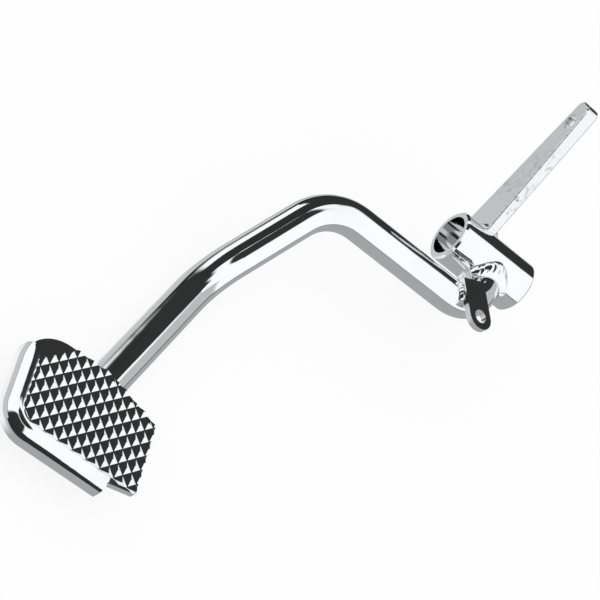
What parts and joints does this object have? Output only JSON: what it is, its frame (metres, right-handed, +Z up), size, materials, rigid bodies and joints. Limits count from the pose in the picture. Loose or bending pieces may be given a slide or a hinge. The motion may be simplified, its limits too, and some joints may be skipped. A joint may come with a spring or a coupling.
{
  "type": "rear brake pedal",
  "caption": "Chrome-plated foot brake pedal: bent round arm on a pivot tube, toothed foot pad with a rolled skirt, brake rod lever and return spring tab.",
  "frame": {"origin": "on the pivot axis, at the middle of the pivot tube's length", "axes": "+X forward along the bike, +Y inboard along the pivot axis, +Z up, with the pedal at rest as installed"},
  "size_m": [0.2432, 0.1891, 0.0834],
  "materials": {
    "bright_chrome": "polished chrome plate",
    "pressed_chrome": "chrome plate over pressed sheet",
    "forged_chrome": "chrome plate over a sheared and forged edge",
    "weld_chrome": "chrome plate over a weld bead"
  },
  "bodies": {
    "root": {"pivot_tube": "bright_chrome", "pedal_arm": "bright_chrome", "foot_pad": "pressed_chrome", "brake_rod_lever": "forged_chrome", "spring_tab": "pressed_chrome", "arm_weld_bead": "weld_chrome", "lever_weld_bead": "weld_chrome", "tab_weld_bead": "weld_chrome", "pad_weld_bead": "weld_chrome"}
  },
  "joints": []
}
